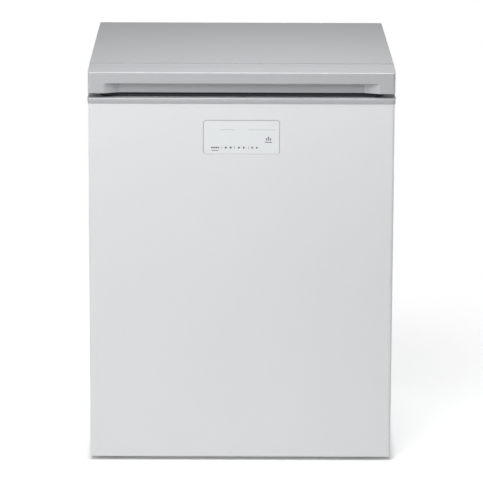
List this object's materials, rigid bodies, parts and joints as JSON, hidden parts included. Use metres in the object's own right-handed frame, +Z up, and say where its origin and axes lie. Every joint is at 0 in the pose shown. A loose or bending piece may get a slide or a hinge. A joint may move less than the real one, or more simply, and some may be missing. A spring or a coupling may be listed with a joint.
{
  "type": "kimchi refrigerator",
  "caption": "Chest-style kimchi refrigerator with a rear-hinged lid, a full-width finger grip, a touch panel, a metal tub and lift-out food boxes.",
  "frame": {"origin": "on the floor, at the middle of the footprint from the lid's front face to the hinge covers", "axes": "+Z up, the front panel faces -Y, +X to the viewer's right"},
  "size_m": [0.666, 0.711, 0.873],
  "materials": {
    "coated_steel_front": "satin silver-white pre-coated sheet",
    "coated_steel": "satin silver-white pre-coated sheet",
    "silver_plastic": "satin silver-grey",
    "panel_plastic": "smooth, with printed marks",
    "galvanised_steel": "zinc",
    "tub_aluminium": "brushed",
    "polyurethane_foam": "matt, hidden",
    "white_plastic": "satin",
    "gasket_rubber": "matt",
    "black_rubber": "matt",
    "copper": "bare copper",
    "black_steel": "black enamel",
    "black_plastic": "matt",
    "circuit_board": "resist green",
    "box_plastic": "satin translucent white",
    "box_lid_plastic": "satin grey"
  },
  "bodies": {
    "cabinet": {"front_panel": "coated_steel_front", "rear_panel": "coated_steel", "base_pan": "galvanised_steel", "top_frame": "silver_plastic", "inner_liner": "tub_aluminium", "evaporator_coil": "copper", "insulation_foam": "polyurethane_foam", "tub_divider": "white_plastic", "thermistor_cover": "white_plastic", "control_plate": "panel_plastic", "display_housing": "black_plastic", "display_board": "circuit_board", "machine_room_bulkhead": "galvanised_steel", "machine_room_cover": "coated_steel", "cord_gland": "black_rubber", "compressor": "black_steel", "compressor_mount": "black_rubber", "compressor_terminal_cover": "black_plastic", "condenser": "galvanised_steel", "filter_drier": "copper", "suction_line": "copper", "control_box": "black_plastic", "control_box_cover": "black_plastic", "fan_shroud": "black_plastic", "fan_motor": "galvanised_steel", "side_panel_left": "coated_steel", "side_panel_right": "coated_steel", "roller_bracket_left": "galvanised_steel", "roller_bracket_right": "galvanised_steel", "roller_axle_left": "galvanised_steel", "roller_axle_right": "galvanised_steel", "hinge_bracket_left": "galvanised_steel", "hinge_bracket_right": "galvanised_steel", "hinge_pin_left": "galvanised_steel", "hinge_pin_right": "galvanised_steel", "hinge_spring_left": "galvanised_steel", "hinge_spring_right": "galvanised_steel", "hinge_cover_left": "silver_plastic", "hinge_cover_right": "silver_plastic"},
    "lid": {"lid_shell": "silver_plastic", "lid_front_grip": "silver_plastic", "lid_inner_liner": "white_plastic", "lid_foam": "polyurethane_foam", "lid_gasket": "gasket_rubber", "hinge_leaf_left": "galvanised_steel", "hinge_leaf_right": "galvanised_steel"},
    "condenser_fan": {"fan_blades": "black_plastic"},
    "roller_left": {"roller_left": "black_plastic"},
    "levelling_foot_left": {"levelling_foot_left": "black_plastic"},
    "roller_right": {"roller_right": "black_plastic"},
    "levelling_foot_right": {"levelling_foot_right": "black_plastic"},
    "box_front_left": {"kimchi_box_front_left": "box_plastic"},
    "box_lid_front_left": {"kimchi_box_lid_front_left": "box_lid_plastic"},
    "box_front_right": {"kimchi_box_front_right": "box_plastic"},
    "box_lid_front_right": {"kimchi_box_lid_front_right": "box_lid_plastic"},
    "box_rear_left": {"kimchi_box_rear_left": "box_plastic"},
    "box_lid_rear_left": {"kimchi_box_lid_rear_left": "box_lid_plastic"},
    "box_rear_right": {"kimchi_box_rear_right": "box_plastic"},
    "box_lid_rear_right": {"kimchi_box_lid_rear_right": "box_lid_plastic"}
  },
  "joints": [
    {"name": "lid_hinge", "type": "hinge", "parent": "cabinet", "child": "lid", "pos_m": [0, 0.343, 0.813], "axis": [-1, 0, 0], "range_deg": [0, 80], "stiffness_Nm_per_rad": 4, "springref_deg": 148.97},
    {"name": "fan_spin", "type": "hinge", "parent": "cabinet", "child": "condenser_fan", "pos_m": [0.03, 0.1785, 0.0948], "axis": [1, 0, 0], "continuous": true},
    {"name": "roller_spin_left", "type": "hinge", "parent": "cabinet", "child": "roller_left", "pos_m": [-0.27, 0.2765, 0.015], "axis": [1, 0, 0], "continuous": true},
    {"name": "foot_screw_left", "type": "slide", "parent": "cabinet", "child": "levelling_foot_left", "axis": [0, 0, 1], "range_m": [-0.012, 0.003]},
    {"name": "roller_spin_right", "type": "hinge", "parent": "cabinet", "child": "roller_right", "pos_m": [0.27, 0.2765, 0.015], "axis": [1, 0, 0], "continuous": true},
    {"name": "foot_screw_right", "type": "slide", "parent": "cabinet", "child": "levelling_foot_right", "axis": [0, 0, 1], "range_m": [-0.012, 0.003]},
    {"name": "box_lift_front_left", "type": "slide", "parent": "cabinet", "child": "box_front_left", "axis": [0, 0, 1], "range_m": [0, 0.22]},
    {"name": "box_lid_lift_front_left", "type": "slide", "parent": "box_front_left", "child": "box_lid_front_left", "axis": [0, 0, 1], "range_m": [0, 0.04]},
    {"name": "box_lift_front_right", "type": "slide", "parent": "cabinet", "child": "box_front_right", "axis": [0, 0, 1], "range_m": [0, 0.22]},
    {"name": "box_lid_lift_front_right", "type": "slide", "parent": "box_front_right", "child": "box_lid_front_right", "axis": [0, 0, 1], "range_m": [0, 0.04]},
    {"name": "box_lift_rear_left", "type": "slide", "parent": "cabinet", "child": "box_rear_left", "axis": [0, 0, 1], "range_m": [0, 0.22]},
    {"name": "box_lid_lift_rear_left", "type": "slide", "parent": "box_rear_left", "child": "box_lid_rear_left", "axis": [0, 0, 1], "range_m": [0, 0.04]},
    {"name": "box_lift_rear_right", "type": "slide", "parent": "cabinet", "child": "box_rear_right", "axis": [0, 0, 1], "range_m": [0, 0.22]},
    {"name": "box_lid_lift_rear_right", "type": "slide", "parent": "box_rear_right", "child": "box_lid_rear_right", "axis": [0, 0, 1], "range_m": [0, 0.04]}
  ]
}
